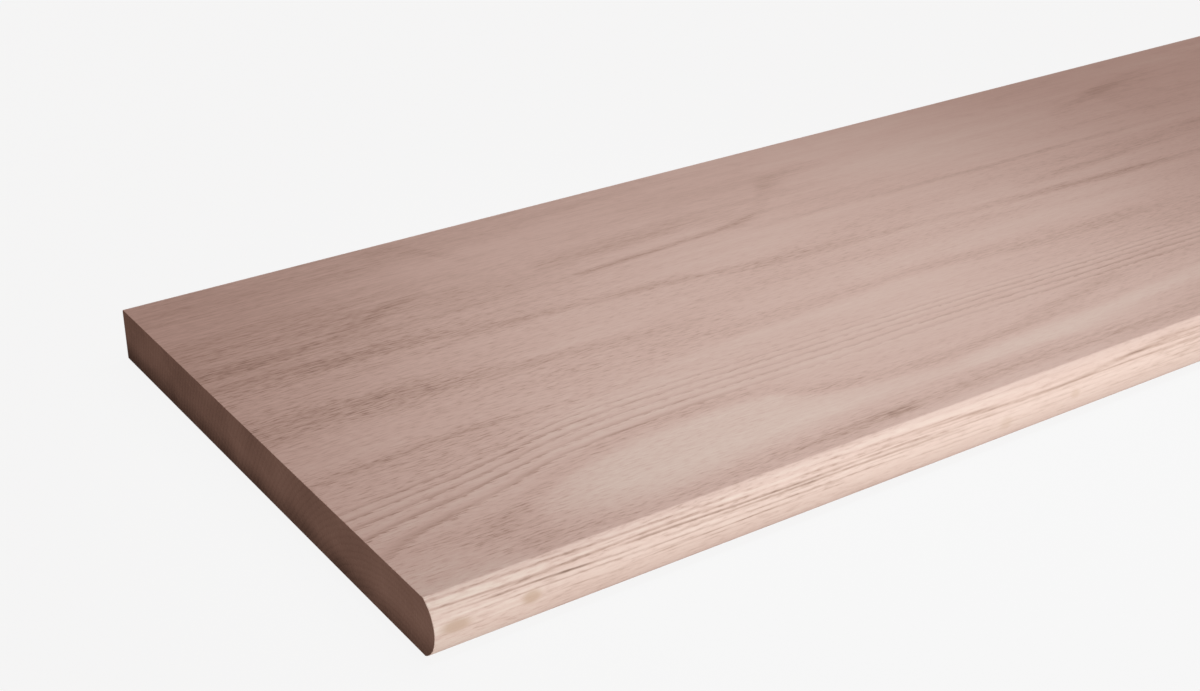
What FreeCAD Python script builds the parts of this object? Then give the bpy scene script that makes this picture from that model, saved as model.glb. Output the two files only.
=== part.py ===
"""Solid oak stair tread: one board with a rounded nosing along its front edge.

Millimetres. X runs along the tread, the nosing faces -Y, the back edge faces +Y, and Z points up.
The origin is on the underside, at the middle of the tread's length and depth.
"""
import FreeCAD
import Part

import os

from FreeCAD import Vector

# Driving dimensions
length = 914.4          # 36 inch stock length
depth = 292.1           # 11 1/2 inch from the nosing's foremost line to the back edge
thickness = 25.4        # 1 inch planed thickness
nosing_projection = 7.6  # how far the round of the nosing stands in front of the flat faces
nosing_easing = 1.5     # sanded radius where the nosing meets the top and the underside
back_easing = 0.8       # sanded radius along both arrises of the back edge
end_easing = 0.4        # broken arris around each cross-cut end

# Places that follow from them
front_line = -depth / 2
back_line = depth / 2
flats_front = front_line + nosing_projection
end_positions = (-length / 2, length / 2)


def board_section(x):
    """The board's section at x: flat underside, back edge and top, and one arc for the nosing."""
    back_bottom = Vector(x, back_line, 0)
    back_top = Vector(x, back_line, thickness)
    nosing_top = Vector(x, flats_front, thickness)
    nosing_front = Vector(x, front_line, thickness / 2)
    nosing_bottom = Vector(x, flats_front, 0)
    edges = [
        Part.LineSegment(back_bottom, back_top).toShape(),
        Part.LineSegment(back_top, nosing_top).toShape(),
        Part.Arc(nosing_top, nosing_front, nosing_bottom).toShape(),
        Part.LineSegment(nosing_bottom, back_bottom).toShape(),
    ]
    return Part.Face(Part.Wire(edges))


def same_place(a, b):
    """True for two coordinates that agree to a millionth of a millimetre."""
    return abs(a - b) < 1e-6


def runs_along_tread_at(edge, y):
    """True for an edge that runs the length of the tread at depth position y."""
    box = edge.BoundBox
    return not same_place(box.XMin, box.XMax) and same_place(box.YMin, y) and same_place(box.YMax, y)


def lies_in_end(edge):
    """True for an edge of one of the two cross-cut ends."""
    box = edge.BoundBox
    return any(same_place(box.XMin, x) and same_place(box.XMax, x) for x in end_positions)


def tread_board():
    """Extrudes the section, then eases the long arrises and breaks the arris of each end."""
    board = board_section(end_positions[0]).extrude(Vector(length, 0, 0))
    nosing_arrises = [e for e in board.Edges if runs_along_tread_at(e, flats_front)]
    board = board.makeFillet(nosing_easing, nosing_arrises)
    back_arrises = [e for e in board.Edges if runs_along_tread_at(e, back_line)]
    board = board.makeFillet(back_easing, back_arrises)
    end_arrises = [e for e in board.Edges if lies_in_end(e)]
    return board.makeFillet(end_easing, end_arrises)


def export(node, shape):
    """Writes one node as a STEP file and prints what it measures."""
    os.makedirs("parts", exist_ok=True)
    shape.exportStep(os.path.join("parts", node + ".step"))
    box = shape.optimalBoundingBox(False, False)
    print(f"{node}: {box.XLength:.2f} x {box.YLength:.2f} x {box.ZLength:.2f} mm,"
          f" {shape.Volume / 1e6:.4f} litres, {len(shape.Solids)} solid, valid {shape.isValid()}")


export("tread_board", tread_board())
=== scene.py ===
# %% [markdown]
# A solid red oak stair tread
#
# The object is one board of sanded, unfinished red oak. Its front edge is rounded to a nosing, its back
# edge is square, and its ends are cross-cut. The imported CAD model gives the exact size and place, so the
# lesson starts by loading it and reading its box. The board is built in metres, in that same frame: X runs
# along the tread, the nosing faces -Y, and Z points up. The patterns of the wood are in millimetres.

# %% Load the frame and measure it
import math

import bpy
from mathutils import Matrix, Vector


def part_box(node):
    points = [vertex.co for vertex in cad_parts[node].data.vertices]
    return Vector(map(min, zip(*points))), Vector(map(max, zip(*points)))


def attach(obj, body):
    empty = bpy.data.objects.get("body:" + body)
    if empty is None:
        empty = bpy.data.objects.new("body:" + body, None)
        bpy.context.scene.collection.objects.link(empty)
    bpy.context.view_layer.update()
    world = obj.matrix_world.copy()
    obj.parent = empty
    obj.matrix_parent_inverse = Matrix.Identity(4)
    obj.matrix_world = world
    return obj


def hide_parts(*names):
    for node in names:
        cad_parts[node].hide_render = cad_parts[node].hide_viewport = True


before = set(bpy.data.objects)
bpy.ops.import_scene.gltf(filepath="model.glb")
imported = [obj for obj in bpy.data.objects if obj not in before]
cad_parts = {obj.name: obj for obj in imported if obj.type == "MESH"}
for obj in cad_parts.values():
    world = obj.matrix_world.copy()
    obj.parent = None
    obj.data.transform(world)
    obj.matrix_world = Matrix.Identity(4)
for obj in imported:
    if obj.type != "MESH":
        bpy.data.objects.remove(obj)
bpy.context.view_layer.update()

low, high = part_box("tread_board")
length = high[0] - low[0]
depth = high[1] - low[1]
thickness = high[2] - low[2]
print(f"tread: {length * 1000:.1f} x {depth * 1000:.1f} x {thickness * 1000:.1f} mm")

# %% [markdown]
# The section of the board
#
# A machinist would run this board past one shaped cutter, so one section says everything about its long
# faces. The nosing is a single arc that stands 7.6 mm in front of the flat faces. It meets them at a
# crease that the sander has rounded off. A bevel modifier could do that, but working the arcs out gives
# the exact direction of the surface at every point, and those directions make the shading flawless.

# %% Work out the section
nosing_projection = 0.0076
nosing_easing = 0.0015
back_easing = 0.0008
half = thickness / 2
nosing_radius = (half ** 2 + nosing_projection ** 2) / (2 * nosing_projection)
nosing_steps, crease_steps, flat_steps, arris_steps, edge_steps = 16, 6, 72, 5, 4


def arc(centre, radius, start, stop, steps):
    """Points on an arc with the way each one faces. Angles start at the front and turn upwards."""
    points = []
    for step in range(steps + 1):
        angle = start + (stop - start) * step / steps
        facing = (-math.cos(angle), math.sin(angle))
        points.append((centre[0] + radius * facing[0], centre[1] + radius * facing[1], *facing))
    return points


def upper_half():
    """The section from the foremost line of the nosing, over the top, to the middle of the back edge."""
    nosing_centre = (low[1] + nosing_radius, half)
    rise = half - nosing_easing
    reach = math.sqrt((nosing_radius - nosing_easing) ** 2 - rise ** 2)
    crease_centre = (nosing_centre[0] - reach, half + rise)
    crease = math.atan2(rise, reach)
    back_centre = (high[1] - back_easing, thickness - back_easing)
    points = arc(nosing_centre, nosing_radius, 0, crease, nosing_steps)
    points += arc(crease_centre, nosing_easing, crease, math.pi / 2, crease_steps)[1:]
    for step in range(1, flat_steps):
        y = crease_centre[0] + (back_centre[0] - crease_centre[0]) * step / flat_steps
        points.append((y, thickness, 0.0, 1.0))
    points += arc(back_centre, back_easing, math.pi / 2, math.pi, arris_steps)
    for step in reversed(range(edge_steps)):
        points.append((high[1], half + rise * step / edge_steps, 1.0, 0.0))
    return points


upper = upper_half()
lower = [(y, thickness - z, ny, -nz) for y, z, ny, nz in upper[-2:0:-1]]
section = upper + lower
print(f"nosing radius {nosing_radius * 1000:.2f} mm, {len(section)} points round the section")

# %% [markdown]
# Places along the board
#
# The section is repeated along the length. Near each end the last copies draw in on a quarter circle,
# which breaks the sharp arris that the saw leaves. The others are 6 mm apart, so that the quads stay
# close to square.

# %% Places along the board
end_easing = 0.0004
end_steps = 4
spacing = 0.006


def stations():
    """Places along X, each with how far the section draws in there and how far it leans to the end."""
    first, last = low[0] + end_easing, high[0] - end_easing
    count = round((last - first) / spacing)
    places = []
    for step in range(end_steps + 1):
        lean = math.pi / 2 * (1 - step / end_steps)
        places.append((first - end_easing * math.sin(lean), end_easing * (1 - math.cos(lean)), -lean))
    for step in range(1, count):
        places.append((first + (last - first) * step / count, 0.0, 0.0))
    mirrored = [(low[0] + high[0] - x, draw, -lean) for x, draw, lean in places[end_steps::-1]]
    return places + mirrored


rows = stations()
print(f"{len(rows)} copies of the section")

# %% [markdown]
# The board itself
#
# The copies are joined with quads, as a loft. Each end is closed with quads between the lower and the
# upper half, so there are no long slivers in the mesh. The outer half of the eased arris counts as end
# grain, because the saw and the sandpaper cut across the fibres there.

# %% Loft the board
end_strips = 2


def loft():
    """Vertices, facings and faces of the whole board, and which faces are cut across the grain."""
    around = len(section)
    strips = len(rows) - 1
    vertices, facings, faces, end_grain = [], [], [], []
    for x, draw, lean in rows:
        side = math.cos(lean)
        for y, z, ny, nz in section:
            vertices.append((x, y - ny * draw, z - nz * draw))
            facings.append((math.sin(lean), ny * side, nz * side))
    for strip in range(strips):
        near, far = strip * around, (strip + 1) * around
        for i in range(around):
            j = (i + 1) % around
            faces.append((near + i, far + i, far + j, near + j))
            end_grain.append(strip < end_strips or strip >= strips - end_strips)
    last = len(upper) - 2
    for base, flip in ((0, False), (strips * around, True)):
        for i in range(last + 1):
            under = base + (around - i) % around
            quad = [base + i, base + i + 1, base + around - i - 1, under]
            if i == 0:
                quad = [base, base + 1, base + around - 1]
            if i == last:
                quad = [base + i, base + i + 1, under]
            faces.append(tuple(reversed(quad)) if flip else tuple(quad))
            end_grain.append(True)
    return vertices, facings, faces, end_grain


vertices, facings, faces, end_grain = loft()
mesh = bpy.data.meshes.new("oak_tread")
mesh.from_pydata(vertices, [], faces)
mesh.polygons.foreach_set("use_smooth", [True] * len(faces))
mesh.polygons.foreach_set("material_index", [int(is_end) for is_end in end_grain])
mesh.normals_split_custom_set_from_vertices(facings)
mesh.validate(clean_customdata=False)
oak_tread = bpy.data.objects.new("oak_tread", mesh)
bpy.context.scene.collection.objects.link(oak_tread)
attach(oak_tread, "root")
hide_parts("tread_board")
print(f"oak_tread: {len(mesh.vertices)} vertices, {len(mesh.polygons)} faces")

# %% [markdown]
# Two small tools for the materials
#
# Colours are picked as sRGB hex values, the way a colour picker shows them, and shaders want linear
# light, so one function turns the one into the other. The other function adds a node, gives it its
# settings and fills its inputs, and every node of the wood is made with it.

# %% Colour and node tools


def linear(hex_colour):
    """An sRGB colour such as #C9A898 as linear red, green, blue and alpha."""
    channels = [int(hex_colour[i:i + 2], 16) / 255 for i in (1, 3, 5)]
    return (*[c / 12.92 if c <= 0.04045 else ((c + 0.055) / 1.055) ** 2.4 for c in channels], 1.0)


def add(tree, kind, inputs=(), out=0, curve=None, ramp=None, **settings):
    """Adds one node and returns one of its outputs. Inputs are sockets to link or values to set."""
    node = tree.nodes.new("ShaderNode" + kind)
    node.location = (220 * (len(tree.nodes) // 6), -220 * (len(tree.nodes) % 6))
    for name, value in settings.items():
        setattr(node, name, value)
    for socket, given in (inputs.items() if isinstance(inputs, dict) else enumerate(inputs)):
        if isinstance(given, bpy.types.NodeSocket):
            tree.links.new(given, node.inputs[socket])
        else:
            node.inputs[socket].default_value = given
    if curve:
        points = node.mapping.curves[0].points
        points[0].location, points[1].location = curve[0], curve[-1]
        for place in curve[1:-1]:
            points.new(*place)
        node.mapping.extend = "HORIZONTAL"
        node.mapping.update()
    if ramp:
        stops = node.color_ramp.elements
        while len(stops) < len(ramp):
            stops.new(0.5)
        for stop, (place, colour) in zip(stops, ramp):
            stop.position, stop.color = place, linear(colour)
    return node.outputs[out] if node.outputs else None


print("linear #C9A898 is", [round(c, 3) for c in linear("#C9A898")])

# %% [markdown]
# The log inside the board
#
# Wood is a solid pattern: the same growth rings show on the top, round the nosing and on the sawn end.
# So the pattern is not painted on. It is worked out in log coordinates, as the distance from the pith
# that the board was sawn beside. The pith wanders, and where it comes nearer to the top, the rings close
# into the tall ovals that carpenters call cathedrals. Two short lists say how it wanders: the distance
# along the board, then the place of the pith there, all in millimetres. A slow noise, the drift, bends
# the rings a little, and towards the far end they fan out.

# %% Log coordinates
mm = 1000.0
run = length * mm
height = thickness * mm
widest = 300.0
pith_from_back = [(0, 265), (50, 262), (75, 259), (100, 255), (160, 252), (430, 252), (650, 256),
                  (914, 262)]
pith_below_top = [(0, 85.3), (35, 83.7), (50, 83.3), (75, 82), (100, 81), (160, 80.1), (430, 80.1),
                  (914, 79)]
drift_length, drift_width, drift_reach = 150, 30, 2.6
fanning = 0.58


def along_board(places, most=1.0):
    """Points of a curve through places along the board, each with a value from 0 to most."""
    return [(x / run, value / most) for x, value in places]


def log_coordinates(tree):
    """Sockets for the place in the board, in millimetres, and for the place in the log it came from."""
    seen = add(tree, "TexCoord", out=3)
    corner = (-low[0] * mm, high[1] * mm, 0)
    place = add(tree, "VectorMath", (seen, (mm, -mm, mm), corner), operation="MULTIPLY_ADD")
    along, from_back, up = add(tree, "SeparateXYZ", (place,)).node.outputs
    share = add(tree, "Math", (along, run), operation="DIVIDE")
    crown = add(tree, "FloatCurve", {"Value": share}, curve=along_board(pith_from_back, widest))
    pith = add(tree, "FloatCurve", {"Value": share}, curve=along_board(pith_below_top, widest))
    offset = add(tree, "Math", (crown, -widest, from_back), operation="MULTIPLY_ADD")
    spread = add(tree, "Math", (share, fanning, 1.0), operation="MULTIPLY_ADD")
    sideways = add(tree, "Math", (offset, spread), operation="MULTIPLY")
    below = add(tree, "Math", (pith, widest, up), operation="MULTIPLY_ADD")
    below = add(tree, "Math", (below, height), operation="SUBTRACT")
    across = add(tree, "CombineXYZ", (sideways, below, 0))
    slow = (1 / drift_length, 1 / drift_width, 1 / drift_width)
    slow_place = add(tree, "VectorMath", (place, slow), operation="MULTIPLY")
    drift = add(tree, "TexNoise", {"Vector": slow_place, "Scale": 1.0, "Detail": 3.0})
    drift = add(tree, "Math", (drift, drift_reach, -drift_reach / 2), operation="MULTIPLY_ADD")
    radius = add(tree, "VectorMath", (across,), out=1, operation="LENGTH")
    radius = add(tree, "Math", (radius, drift), operation="ADD")
    angle = add(tree, "Math", (sideways, below), operation="ARCTAN2")
    return {"place": place, "along": along, "from_back": from_back, "up": up, "share": share,
            "drift": drift, "radius": radius, "angle": angle}


print(f"the pith lies {pith_below_top[0][1] - height:.1f} mm under the board at the near end")

# %% [markdown]
# Growth rings, pores, rays and fibres
#
# Red oak is ring-porous. Each spring it lays down a band of wide pores, then dense summer wood. Cut along
# the grain the pores are open grooves, which show as short dark dashes; between them the summer wood is
# pale and smooth. Rays run from the pith outwards. Each pattern of the grain is a noise stretched along
# the fibres, by a length and a width in millimetres. Real pores are about 0.3 mm wide, too fine for a
# render of the whole board, so they are drawn 0.85 mm wide, and the rays are drawn 0.8 mm wide for the
# same reason. The pores also feather the edges of the rings, which are never clean in oak.

# %% Patterns of the wood
grain_sizes = {
    "pores": (5.5, 0.85, 3),
    "fibres": (22, 1.4, 3),
    "threads": (40, 1.6, 3),
    "bands": (130, 7, 2),
    "broad": (200, 26, 3),
}
ring_width, feather = 2.7, 1.5
spring_in_a_year = [(0, 0.5), (0.08, 0.95), (0.2, 0.8), (0.42, 0.2), (0.65, 0), (0.88, 0.05), (1, 0.5)]
nosing_line_gap, nosing_line_slope, nosing_line_drift = 2.1, 0.012, 1.2
ray_length, ray_height, ray_width = 12, 10, 0.8
ray_edge = (0.62, 0.76)
usual_radius = 90


def oak_patterns(tree, log):
    """Sockets from 0 to 1: each pattern of grain_sizes, the tone of each year, spring wood and rays."""
    wood = {}
    for name, (long, wide, detail) in grain_sizes.items():
        stretch = (1 / long, 1 / wide, 1 / wide)
        stretched = add(tree, "VectorMath", (log["place"], stretch), operation="MULTIPLY")
        wood[name] = add(tree, "TexNoise", {"Vector": stretched, "Scale": 1.0, "Detail": detail})
    rings = add(tree, "Math", (log["radius"], ring_width), operation="DIVIDE")
    year = add(tree, "Math", (rings,), operation="FLOOR")
    wood["year"] = add(tree, "TexWhiteNoise", {"W": year}, noise_dimensions="1D")
    feathered = add(tree, "Math", (wood["pores"], feather, log["radius"]), operation="MULTIPLY_ADD")
    level = add(tree, "Math", (log["along"], nosing_line_slope, log["up"]), operation="MULTIPLY_ADD")
    level = add(tree, "Math", (log["drift"], nosing_line_drift, level), operation="MULTIPLY_ADD")
    layers = {"spring": (feathered, ring_width), "level_spring": (level, nosing_line_gap)}
    for name, (outward, gap) in layers.items():
        count = add(tree, "Math", (outward, gap), operation="DIVIDE")
        season = add(tree, "Math", (count,), operation="FRACT")
        wood[name] = add(tree, "FloatCurve", {"Value": season}, curve=spring_in_a_year)
    tangent = add(tree, "Math", (log["angle"], usual_radius / ray_width), operation="MULTIPLY")
    radial = add(tree, "Math", (log["radius"], ray_height), operation="DIVIDE")
    onward = add(tree, "Math", (log["along"], ray_length), operation="DIVIDE")
    ray_place = add(tree, "CombineXYZ", (tangent, radial, onward))
    rays = add(tree, "TexNoise", {"Vector": ray_place, "Scale": 1.0, "Detail": 0.0})
    wood["rays"] = add(tree, "MapRange", (rays, *ray_edge))
    return wood


print(f"{len(grain_sizes)} stretched patterns, rings {ring_width} mm wide")

# %% [markdown]
# Dark streaks and painted shade
#
# Here and there mineral stain and slow years darken the wood, and each board has its own streaks. A
# painted mask could hold them. A short list of places along each streak does the same job, stays sharp at
# any distance and is easy to change: half the width of the streak, then its places, each with the distance
# along the board, the distance from the back edge and how strong the streak is there. The widest entry,
# 140 mm to each side of its path at the back corner of the near end, is painted shade where the lamps fall
# off.

# %% Dark streaks of this board, and a patch of painted shade
dark_streaks_and_shade = [
    (7, [(0, 99, 0.5), (70, 103, 0.45), (130, 110, 0.4), (235, 120, 0.55), (280, 125, 0.45),
         (390, 132, 0.5), (515, 139, 0.75), (600, 144, 0.2), (710, 147, 0.5), (800, 150, 0.3),
         (914, 153, 0.5)]),
    (4.5, [(194, 87, 0), (204, 86, 0.9), (250, 83, 0.75), (295, 79, 0.7), (315, 75, 0)]),
    (11, [(285, 82, 0), (310, 76, 0.25), (330, 62, 0.2), (345, 44, 0.4), (365, 38, 0.35), (395, 36, 0)]),
    (11, [(180, 68, 0), (215, 66, 0.5), (265, 66, 0.45), (310, 68, 0)]),
    (8, [(0, 87, 0.35), (55, 82, 0.35), (85, 75, 0.5), (105, 66, 0.4), (130, 58, 0)]),
    (3.5, [(0, 196, 0.4), (60, 190, 0.5), (150, 191, 0.45), (185, 192, 0)]),
    (9, [(20, 138, 0), (60, 145, 0.28), (100, 149, 0.36), (160, 156, 0.3), (240, 161, 0)]),
    (9, [(200, 176, 0), (260, 176, 0.25), (340, 173, 0.3), (400, 181, 0.45), (480, 184, 0.35),
         (560, 190, 0)]),
    (4, [(300, 90, 0), (340, 90, 0.3), (430, 92, 0.4), (540, 94, 0.5), (640, 95, 0)]),
    (8, [(450, 123, 0), (515, 120, 0.65), (590, 116, 0)]),
    (9, [(550, 54, 0), (585, 46, 0.5), (620, 35, 0.5), (670, 28, 0)]),
    (12, [(115, 5, 0), (140, 12, 0.3), (152, 28, 0.3), (165, 42, 0)]),
    (9, [(18, 276, 0), (32, 270, 0.2), (60, 252, 0.45), (100, 235, 0.6), (150, 227, 0.6),
         (195, 230, 0.5), (216, 242, 0.55), (280, 249, 0.5), (320, 246, 0.5), (380, 236, 0.4),
         (430, 226, 0.2), (480, 220, 0)]),
    (20, [(22, 262, 0), (40, 264, 0.25), (60, 266, 0.18), (85, 272, 0.1), (110, 273, 0)]),
    # Painted shade: this wide, soft entry darkens the back corner of the near end, where the lamps fall
    # off; it is no stain.
    (140, [(0, 70, 0.6), (60, 50, 0.6), (140, 20, 0.3), (260, 0, 0)]),
    (45, [(0, 150, 0.25), (40, 152, 0.35), (90, 156, 0.2), (150, 160, 0)]),
    (5, [(224, 277, 0), (234, 277, 0.9), (245, 276, 0)]),
    (8, [(610, 58, 0), (690, 66, 0.4), (780, 70, 0.55), (914, 74, 0.4)]),
    (5, [(600, 107, 0), (700, 110, 0.55), (770, 114, 0.25), (840, 115, 0.5), (914, 116, 0.5)]),
    (11, [(540, 168, 0), (640, 172, 0.4), (740, 178, 0.5), (860, 180, 0.3), (914, 182, 0.4)]),
    (7, [(690, 14, 0), (760, 22, 0.5), (850, 20, 0.4), (914, 24, 0.5)]),
    (9, [(520, 216, 0), (590, 224, 0.35), (660, 236, 0.45), (760, 242, 0.45), (830, 250, 0.45),
         (880, 262, 0.3), (900, 270, 0)]),
    (11, [(60, 276, 0), (90, 275, 0.1), (150, 273, 0.25), (200, 274, 0.5), (262, 273, 0.6),
          (320, 271, 0.7), (380, 273, 0.6), (500, 275, 0.4), (700, 276, 0)]),
]
print(f"{len(dark_streaks_and_shade)} dark streaks")

# %% [markdown]
# Pale streaks
#
# In the middle of a cathedral the cut lies flat in the summer wood of one year, which is paler and greyer
# than the rest. The oval near the nosing is two wide streaks side by side.

# %% Pale streaks of this board
pale_streaks = [
    (22, [(55, 258, 0), (82, 252, 0.4), (110, 247, 0.7), (150, 244, 0.75), (195, 244, 0.6),
          (220, 250, 0.2), (265, 255, 0.15), (310, 257, 0)]),
    (22, [(62, 268, 0), (90, 267, 0.5), (120, 266, 0.7), (160, 264, 0.6), (200, 262, 0.4),
          (225, 261, 0.2), (260, 262, 0)]),
    (30, [(0, 284, 0.6), (20, 282, 0.5), (50, 280, 0)]),
    (50, [(90, 205, 0), (140, 203, 0.25), (200, 200, 0.2), (270, 180, 0.1), (340, 152, 0.2),
          (420, 150, 0.1), (520, 150, 0)]),
    (10, [(285, 259, 0), (310, 258, 0.4), (360, 257, 0.5), (430, 252, 0.5), (560, 250, 0.4),
          (660, 256, 0.5), (780, 258, 0.4), (870, 268, 0)]),
    (45, [(350, 42, 0), (420, 45, 0.3), (480, 48, 0.3), (540, 50, 0.3), (600, 52, 0)]),
    (40, [(640, 130, 0), (730, 128, 0.3), (860, 132, 0.2), (914, 134, 0.3)]),
]
print(f"{len(pale_streaks)} pale streaks")

# %% [markdown]
# Lines of the nosing
#
# Round the nosing the cutter went straight across the rings, so they show as thin dark lines along the
# edge. Just under the crease a pale band is painted highlight, where the upper nosing faces the front
# light.
# These lists are like those of the top, but the second number of a place is its height above the
# underside.

# %% Lines of the nosing
nosing_streaks = [
    (0.7, [(0, 24.4, 0.6), (60, 23.7, 0.7), (115, 23.2, 0.5), (170, 22.8, 0.2), (230, 22.5, 0)]),
    (0.7, [(0, 22.2, 0.9), (45, 21.3, 1), (75, 21.6, 0.6), (92, 21.8, 0.7), (130, 21.5, 0.8),
           (148, 21.3, 0)]),
    (0.7, [(5, 19.9, 0.2), (20, 19.6, 0.6), (48, 19.2, 0.9), (70, 18.4, 0.7), (92, 18.1, 0)]),
    (0.7, [(82, 20.6, 0), (100, 20.4, 0.5), (160, 19.5, 0.5), (200, 19.5, 0.4), (230, 19.4, 0.8),
           (240, 19.2, 0)]),
    (0.7, [(108, 18.8, 0), (130, 18.6, 0.45), (165, 18.3, 0.5), (235, 17.6, 0.5), (260, 17.2, 0)]),
    (0.6, [(5, 17.4, 0), (60, 16.7, 0.5), (120, 16, 0.3), (180, 15.4, 0.4), (225, 15, 0)]),
    (0.6, [(30, 12.6, 0), (60, 12.8, 0.5), (75, 12.6, 0), (100, 13.2, 0.4), (150, 13.6, 0.3),
           (190, 14.2, 0)]),
    (1.3, [(150, 23, 0), (200, 22.6, 0.3), (255, 21.6, 0.5), (280, 20.2, 0.4), (310, 19.4, 0.3),
           (345, 20.6, 0.4), (385, 22.4, 0.3), (470, 23, 0)]),
    (0.7, [(430, 21.4, 0), (500, 20.8, 0.7), (600, 20.4, 0.5), (690, 19.6, 0.8), (790, 19.2, 0.5),
           (914, 18.4, 0.7)]),
    (0.7, [(520, 18.4, 0), (580, 18, 0.6), (680, 17.2, 0.4), (800, 16.8, 0.7), (914, 16, 0.5)]),
    (0.7, [(560, 23.4, 0), (640, 22.8, 0.6), (760, 22.2, 0.8), (860, 21.8, 0.4), (914, 21.4, 0.6)]),
]
# Painted highlight: a pale band 23 mm above the underside, just under the crease, strongest near the near
# end.
highlight_band_list = [
    (3, [(0, 23, 0.5), (100, 23, 0.6), (200, 23, 0.5), (300, 23.2, 0.1), (400, 23.2, 0)]),
]
print(f"{len(nosing_streaks)} dark lines on the nosing and {len(highlight_band_list)} pale one")

# %% [markdown]
# From lists to streaks
#
# One curve follows the path of a streak and another its strength. The nearer a point of the wood lies to
# the path, the more of the strength it gets. The drift that bends the rings bends the streaks too, or
# they would look drawn with a ruler.

# %% A pattern from a list of streaks
streak_sway = 3.0
nosing_sway = 0.25


def streaks(tree, log, all_streaks, across="from_back", sway=streak_sway):
    """A socket that adds up how strong the listed streaks are, swaying a little with the drift."""
    total = 0.0
    for half_width, places in all_streaks:
        path = along_board([(x, distance) for x, distance, _ in places], widest)
        path = add(tree, "FloatCurve", {"Value": log["share"]}, curve=path)
        strength = along_board([(x, strong) for x, _, strong in places])
        strength = add(tree, "FloatCurve", {"Value": log["share"]}, curve=strength)
        aside = add(tree, "Math", (path, -widest, log[across]), operation="MULTIPLY_ADD")
        aside = add(tree, "Math", (log["drift"], sway, aside), operation="MULTIPLY_ADD")
        aside = add(tree, "Math", (aside,), operation="ABSOLUTE")
        near = add(tree, "MapRange", (aside, half_width, 0.0), interpolation_type="SMOOTHERSTEP")
        total = add(tree, "Math", (near, strength, total), operation="MULTIPLY_ADD")
    return total


print(f"streaks sway by up to {streak_sway * drift_reach / 2:.1f} mm")

# %% [markdown]
# Flecks on the nosing
#
# Four small tan flecks sit on the nosing. They are probably rays that the cutter went through edge-on.
# Each is an oval: its place along the board and its height, then half its length, half its height and its
# strength.

# %% Flecks of the nosing
nosing_flecks = [
    (9, 14.2, 9, 3.8, 0.8),
    (41, 14.4, 6, 3.8, 0.8),
    (281, 12, 5, 5, 0.3),
    (323, 13.8, 4, 3, 0.4),
]
fleck_edge = (1.0, 0.3)


def flecks(tree, log):
    """A socket that has each fleck's strength in its middle and is 0 outside."""
    total = 0.0
    run_and_height = add(tree, "CombineXYZ", (log["along"], log["up"], 0))
    for x, z, half_length, half_height, strength in nosing_flecks:
        aside = add(tree, "VectorMath", (run_and_height, (x, z, 0)), operation="SUBTRACT")
        aside = add(tree, "VectorMath", (aside, (half_length, half_height, 1)), operation="DIVIDE")
        away = add(tree, "VectorMath", (aside,), out=1, operation="LENGTH")
        inside = add(tree, "MapRange", (away, *fleck_edge), interpolation_type="SMOOTHSTEP")
        total = add(tree, "Math", (inside, strength, total), operation="MULTIPLY_ADD")
    return total


print(f"{len(nosing_flecks)} flecks on the nosing")

# %% [markdown]
# Where each pattern shows
#
# The cut decides what shows. Beside the cathedrals the top cuts the rings at a slant, so three or four of
# them stand out as clear lines. On the nosing and the back edge the cut goes nearly straight across them,
# and the spring wood is thin broken lines, mostly in the upper half. The pores show best at the near end
# and towards the front, where the fibres dip into the face. These masks hold that. Their lists give a
# distance from the pith, a distance along the board or a height, each with how much shows there. The
# pairs are distances from the back edge between which a mask goes from nothing to all, and the rows of
# four numbers also give the two amounts.

# %% Masks by place
clear_rings = [(60, 0), (84, 0), (86, 0.9), (92, 1), (95, 0.9), (98, 0.5), (102, 0.12), (120, 0.08)]
rings_along = [(0, 1), (110, 0.95), (250, 0.65), (430, 0.7), (560, 0.45), (700, 0.65), (914, 0.45)]
nosing_heights = [(0, 0.15), (9, 0.25), (12, 0.8), (15, 1), (22, 1), (25.4, 0.5)]
open_pores = [(0, 1), (160, 0.75), (320, 0.55), (560, 0.5), (760, 0.6), (914, 0.7)]
behind_crown, on_nosing, on_back_edge = (262, 248), (284, 286), (1.0, 0.3)
pores_to_front = (40, 120, 0.35, 1.0)
pores_on_flats = (286, 284, 1.2, 1.25)


def masks(tree, log):
    """Sockets that say how much of the rings, the lines of the edges, the nosing and the pores shows."""
    from_back = log["from_back"]
    first, last = clear_rings[0][0], clear_rings[-1][0]
    outward = add(tree, "MapRange", (log["radius"], first, last))
    curve = [((radius - first) / (last - first), shown) for radius, shown in clear_rings]
    rings = add(tree, "FloatCurve", {"Value": outward}, curve=curve)
    behind = add(tree, "MapRange", (from_back, *behind_crown))
    rings = add(tree, "Math", (rings, behind), operation="MULTIPLY")
    clear = add(tree, "FloatCurve", {"Value": log["share"]}, curve=along_board(rings_along))
    rings = add(tree, "Math", (rings, clear), operation="MULTIPLY")
    upward = add(tree, "Math", (log["up"], height), operation="DIVIDE")
    curve = [(level / height, shown) for level, shown in nosing_heights]
    heights = add(tree, "FloatCurve", {"Value": upward}, curve=curve)
    front = add(tree, "MapRange", (from_back, *on_nosing))
    back = add(tree, "MapRange", (from_back, *on_back_edge))
    edges = add(tree, "Math", (front, back), operation="ADD")
    lines = add(tree, "Math", (heights, edges), operation="MULTIPLY")
    pores = add(tree, "FloatCurve", {"Value": log["share"]}, curve=along_board(open_pores))
    for limits in (pores_to_front, pores_on_flats):
        shown = add(tree, "MapRange", (from_back, *limits))
        pores = add(tree, "Math", (pores, shown), operation="MULTIPLY")
    return {"rings": rings, "lines": lines, "front": front, "pores": pores}


print(f"clear rings between {clear_rings[1][0]} and {clear_rings[-2][0]} mm from the pith")

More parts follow.
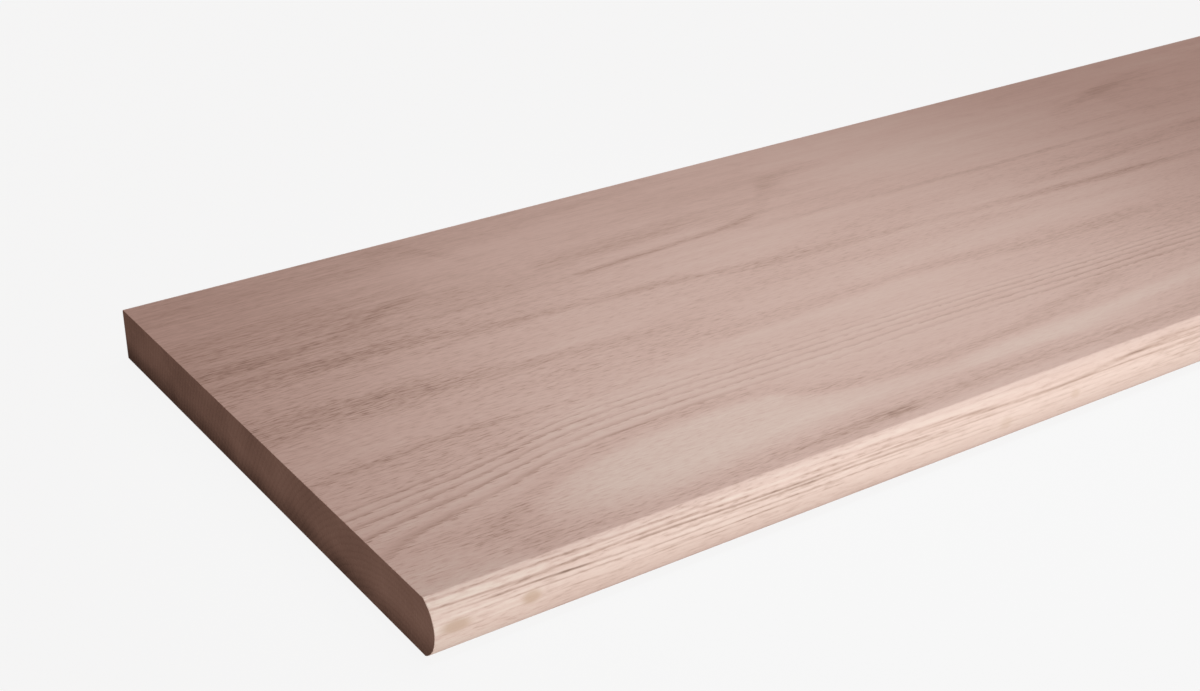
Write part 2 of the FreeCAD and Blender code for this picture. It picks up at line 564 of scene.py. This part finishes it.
# %% [markdown]
# Sanded long grain
#
# This is the top, the nosing, the back edge and the underside: red oak, planed and sanded, with no
# finish. To the eye it is a pale pinkish brown with a matt, slightly dry sheen. The material starts from
# the log and its patterns, and the end grain below starts the same way, so one function starts both.

# %% Start the long-grain material


def start_oak(name):
    """A new oak material with its node tree, its log coordinates and its patterns."""
    material = bpy.data.materials.new(name)
    material.use_nodes = True
    tree = material.node_tree
    tree.nodes.clear()
    log = log_coordinates(tree)
    return material, tree, log, oak_patterns(tree, log)


sanded_oak, tree, log, wood = start_oak("sanded_red_oak")
shows = masks(tree, log)
print(f"{sanded_oak.name} starts from {', '.join(wood)}")

# %% [markdown]
# Uneven wood
#
# Nothing in wood is even along its length. Ring lines and the lines of the nosing break off and start
# again, stain gathers in blotches and in the pores, and the pores are sparser where the wood is pale. Each
# row below reads one of the patterns between two of its values and turns them into two amounts.

# %% Uneven wood
uneven = {
    "broken_rings": ("threads", (0.36, 0.6, 0.65, 1.1), "LINEAR"),
    "broken_lines": ("threads", (0.36, 0.58, 0.0, 1.0), "SMOOTHSTEP"),
    "faded_lines": ("threads", (0.32, 0.5, 0.6, 1.0), "LINEAR"),
    "blotches": ("threads", (0.35, 0.65, 0.6, 1.3), "LINEAR"),
    "short_strokes": ("pores", (0.38, 0.62, 0.8, 1.2), "LINEAR"),
    "pore_patches": ("broad", (0.4, 0.6, 1.12, 0.65), "LINEAR"),
    "wide_pores": ("pores", (0.52, 0.72, 0.0, 1.0), "SMOOTHSTEP"),
}
for name, (pattern, limits, blend) in uneven.items():
    wood[name] = add(tree, "MapRange", (wood[pattern], *limits), interpolation_type=blend)
print(f"{len(uneven)} uneven amounts")

# %% [markdown]
# Rings, lines, stain and pores
#
# Now each mark of the wood is put together: what it is, times where it shows, times how uneven it is. Ring
# lines are spring wood darker than the mean and summer wood paler than it, and some years are stronger
# than others. The short grain is the pores about their mean, and the dashes are only the widest of them.

# %% Marks of the wood
mean_season, mean_pore = 0.3, 0.5
year_spread, faintest_year = 0.5, 0.75
season = add(tree, "Math", (wood["spring"], mean_season), operation="SUBTRACT")
year_depth = add(tree, "Math", (wood["year"], year_spread, faintest_year), operation="MULTIPLY_ADD")
pores = add(tree, "Math", (wood["pores"], mean_pore), operation="SUBTRACT")
dark_lines = streaks(tree, log, nosing_streaks, "up", nosing_sway)
# Painted highlight along the upper nosing, just under the crease.
painted_highlight_band = streaks(tree, log, highlight_band_list, "up", nosing_sway)
marks = {
    "short_grain": (pores, shows["pores"], wood["pore_patches"]),
    "dashes": (wood["wide_pores"], shows["pores"], wood["pore_patches"]),
    "ring_lines": (season, year_depth, shows["rings"], wood["broken_rings"]),
    "edge_lines": (wood["level_spring"], wood["broken_lines"], shows["lines"]),
    "dark_lines": (dark_lines, shows["front"], wood["faded_lines"]),
    "painted_highlight_band": (painted_highlight_band, shows["front"]),
    # The dark streaks hold real stain and one patch of painted shade.
    "stain_and_shade": (streaks(tree, log, dark_streaks_and_shade), wood["blotches"], wood["short_strokes"]),
    "summer_wood": (streaks(tree, log, pale_streaks),),
    "flecks": (flecks(tree, log), shows["front"]),
}
for name, (mark, *amounts) in marks.items():
    for amount in amounts:
        mark = add(tree, "Math", (mark, amount), operation="MULTIPLY")
    wood[name] = mark
print("marks:", ", ".join(marks))

# %% [markdown]
# From tone to sanded oak
#
# The marks are added up to one tone, each with its own weight, and a colour ramp turns the tone into
# wood: brown in the pores and streaks, greyish cream in the summer wood. The flecks have a tan of their
# own, which is mixed in last. The short grain presses the pores in with a bump and makes them rougher.

# %% Finish the long-grain material


def weighed(tree, wood, tone, weights):
    """A tone with each named pattern added to it by its weight."""
    for name, weight in weights.items():
        tone = add(tree, "Math", (wood[name], weight, tone), operation="MULTIPLY_ADD")
    return tone


oak_ior = 1.5
sanded_roughness, pore_roughness, pore_depth = 0.62, 0.3, 0.0003
fleck_tan = linear("#B59580")
tone = weighed(tree, wood, 0.214, {
    "fibres": 0.16, "bands": 0.16, "broad": 0.26, "rays": -0.03, "short_grain": -0.36, "dashes": -0.09,
    "ring_lines": -0.28, "edge_lines": -0.15, "dark_lines": -0.44, "painted_highlight_band": 0.28, "stain_and_shade": -0.2,
    "summer_wood": 0.28})
colour = add(tree, "ValToRGB", (tone,),
             ramp=[(0.0, "#806455"), (0.25, "#AF9183"), (0.5, "#CCAFA3"), (0.8, "#D9C5B8")])
colour = add(tree, "Mix", {0: wood["flecks"], 6: colour, 7: fleck_tan}, out=2, data_type="RGBA")
short_grain = wood["short_grain"]
bump = add(tree, "Bump", {"Strength": 0.5, "Distance": pore_depth, "Height": short_grain}, invert=True)
rough = add(tree, "Math", (short_grain, pore_roughness, sanded_roughness), operation="MULTIPLY_ADD")
surface = add(tree, "BsdfPrincipled", {"Base Color": colour, "Roughness": rough, "Normal": bump,
                                       "IOR": oak_ior})
add(tree, "OutputMaterial", (surface,))
oak_tread.data.materials.append(sanded_oak)
print(f"{sanded_oak.name}: {len(tree.nodes)} nodes")

# %% [markdown]
# Cross-cut end grain
#
# The saw leaves the ends rough. There the pores are seen end-on, as holes that swallow light, so end
# grain looks much darker than the faces though it is the same wood. The same log drives it. Towards the
# lower edge it is darker still: that is painted shade, where the end meets the floor. Painted light is
# added too: the end is paler towards the nosing, where the front lamps reach, and darker towards the back.

# %% End-grain material
sawn_roughness, saw_mark_depth = 0.9, 0.0004
foot_shade_height = 13
sawn_oak, tree, log, wood = start_oak("sawn_red_oak_end_grain")
# Painted light and shade: the end's tone rises with the distance from the back edge, so it is paler
# towards the nosing and darker towards the back.
wood["from_back"] = log["from_back"]
# Painted shade: the end darkens towards its lower edge, within the given height above the underside.
wood["painted_foot_shade"] = add(tree, "MapRange", (log["up"], foot_shade_height, 0), interpolation_type="SMOOTHSTEP")
tone = weighed(tree, wood, 0.38, {
    "broad": 0.5, "pores": -0.4, "spring": -0.07, "rays": 0.08, "painted_foot_shade": -0.42, "from_back": 0.0008})
colour = add(tree, "ValToRGB", (tone,), ramp=[(0.0, "#57463C"), (0.5, "#8B7568"), (1.0, "#A99284")])
bump = add(tree, "Bump", {"Strength": 0.4, "Distance": saw_mark_depth, "Height": tone})
surface = add(tree, "BsdfPrincipled", {"Base Color": colour, "Roughness": sawn_roughness, "Normal": bump,
                                       "IOR": oak_ior, "Specular IOR Level": 0.1})
add(tree, "OutputMaterial", (surface,))
oak_tread.data.materials.append(sawn_oak)
print(f"{sawn_oak.name}: {len(tree.nodes)} nodes")

# %% [markdown]
# Paper floor
#
# The photograph is a product picture on near-white paper, which is matt and looks the same all over. The
# floor glows a little by itself so that it stays even, as a lit paper sweep does, and still takes a faint
# shadow. A glowing floor would light the board from below and wash out its ends, so it is hidden from
# the rays that bounce between surfaces.

# %% Paper floor
paper = bpy.data.materials.new("white_paper")
paper.use_nodes = True
shader = paper.node_tree.nodes["Principled BSDF"]
for socket, value in (("Base Color", linear("#3C3C3C")), ("Roughness", 0.9), ("Specular IOR Level", 0.0),
                      ("Emission Color", linear("#FFFFFF")), ("Emission Strength", 0.89)):
    shader.inputs[socket].default_value = value
floor_reach = 20.0
floor_gap = 0.0002


def paper_sheet(name, corners, panels):
    """A sheet of the paper that the camera sees and bounced light doesn't."""
    sheet_mesh = bpy.data.meshes.new(name)
    sheet_mesh.from_pydata(corners, [], panels)
    sheet_mesh.materials.append(paper)
    sheet = bpy.data.objects.new(name, sheet_mesh)
    sheet.visible_diffuse = False
    sheet.visible_glossy = False
    bpy.context.scene.collection.objects.link(sheet)
    return sheet


corners = [(x * floor_reach, y * floor_reach, 0) for x, y in ((-1, -1), (1, -1), (1, 1), (-1, 1))]
paper_floor = paper_sheet("paper_floor", corners, [(0, 1, 2, 3)])
paper_floor.location.z = -floor_gap
print(f"paper_floor: {2 * floor_reach:.0f} m square")

# %% [markdown]
# Paper wall
#
# A low camera looks past the floor to the horizon. A ring of the same paper far away keeps the ground
# behind the board pale there too. It casts no shadow, so the light of the room comes through it.

# %% Paper wall
wall_radius, wall_height, wall_sides = 18.0, 12.0, 64
turns = [2 * math.pi * side / wall_sides for side in range(wall_sides)]
ring = [(wall_radius * math.cos(turn), wall_radius * math.sin(turn)) for turn in turns]
corners = [(x, y, z) for z in (0, wall_height) for x, y in ring]
panels = []
for side in range(wall_sides):
    beside = (side + 1) % wall_sides
    panels.append((side, beside, beside + wall_sides, side + wall_sides))
paper_wall = paper_sheet("paper_wall", corners, panels)
paper_wall.visible_shadow = False
print(f"paper_wall: {wall_radius:.0f} m away, {wall_height:.0f} m high")

# %% [markdown]
# Lamps above
#
# A soft spot from the front makes the pool of light on the near half of the board, and a wide lamp above
# fills the rest. Both stand to the right of the near end, so that end stays in shade. Lamps and camera
# are placed from the back corner of the near end, which is easy to find in the photograph.

# %% Lamps above
near_corner = Vector((low[0], high[1], 0))
cool_white = linear("#E7F9FF")[:3]


def lamp(name, kind, place, aim, watts, **settings):
    """A lamp placed and aimed in metres from the near end's back corner."""
    data = bpy.data.lights.new(name, kind)
    data.energy = watts
    for setting, value in settings.items():
        setattr(data, setting, value)
    stand = bpy.data.objects.new(name, data)
    stand.location = near_corner + Vector(place)
    stand.rotation_euler = (Vector(aim) - Vector(place)).to_track_quat("-Z", "Y").to_euler()
    bpy.context.scene.collection.objects.link(stand)
    return stand


lamp("front_spot", "SPOT", (0.25, -0.6, 1.6), (0.27, -0.25, 0), 58.8, color=cool_white,
     spot_size=math.radians(27), spot_blend=1.0, shadow_soft_size=0.12)
lamp("top_lamp", "AREA", (1.0, -0.1, 1.5), (0.4, -0.15, 0), 5.0, color=cool_white,
     shape="SQUARE", size=1.0)
print(f"{len(bpy.data.lights)} lamps above the board")

# %% [markdown]
# Lamps at the floor
#
# A long low lamp in front lights the nosing, and a weak strip on the floor under it stands in for the
# light that paper throws up. Two thin lamps do the same for the back edge and the far end. They stand
# below the plane of the top, so they leave it alone. A lamp so near the floor would leave a bright patch
# on it, and light linking prevents that: these four light a collection that holds the board alone.

# %% Lamps at the floor
soft_white = linear("#E7FAFC")[:3]
paper_white = linear("#FFF3EC")[:3]
board_only = bpy.data.collections.new("board_only")
board_only.objects.link(oak_tread)
strips = {
    "low_lamp": ((0.4, -1.03, 0.03), (0.4, -0.25, 0.01), 6.7, soft_white, 1.0, 0.05),
    "paper_bounce": ((0.45, -0.312, 0.001), (0.45, -0.312, 1), 0.035, soft_white, 0.9, 0.04),
    "back_lamp": ((0.5, 0.9, half), (0.5, 0, half), 3.0, cool_white, 0.9, 0.02),
    "far_lamp": ((1.8, -0.15, half), (0.9, -0.15, half), 2.0, paper_white, 0.5, 0.02),
}
for name, (place, aim, watts, white, long, wide) in strips.items():
    stand = lamp(name, "AREA", place, aim, watts, color=white, shape="RECTANGLE", size=long, size_y=wide)
    stand.light_linking.receiver_collection = board_only
print(f"{len(strips)} lamps for the board alone")

# %% [markdown]
# Light of the room
#
# Whatever the lamps don't reach is lit by the room, which is dim and a little warm. The Standard view
# shows colours as they are, without the softer contrast of a film look.

# %% Light of the room
room_light = 0.43
world = bpy.data.worlds.new("warm_room")
world.use_nodes = True
background = world.node_tree.nodes["Background"]
background.inputs["Color"].default_value = linear("#FFE2DB")
background.inputs["Strength"].default_value = room_light
bpy.context.scene.world = world
bpy.context.scene.view_settings.view_transform = "Standard"
print(f"{world.name}: strength {room_light}")

# %% [markdown]
# Camera
#
# The straight edges of the board fix the camera: their directions in the photograph give the angles, and
# the way they draw together gives the distance. It stands 0.8 m from the middle of the near end and looks
# down by 27 degrees.

# %% Camera at the photograph's place
camera_place = Vector((-0.26156, -0.78361, 0.40756))
down, rightward = 26.741, 34.067
camera_data = bpy.data.cameras.new("photo_camera")
camera_data.sensor_width = 36.0
camera_data.sensor_fit = "HORIZONTAL"
camera_data.lens = 56.92
camera = bpy.data.objects.new("photo_camera", camera_data)
camera.location = near_corner + camera_place
camera.rotation_euler = (math.radians(90 - down), 0, math.radians(-rightward))
bpy.context.scene.collection.objects.link(camera)
bpy.context.scene.camera = camera
print("camera at", [round(v, 4) for v in camera.location])
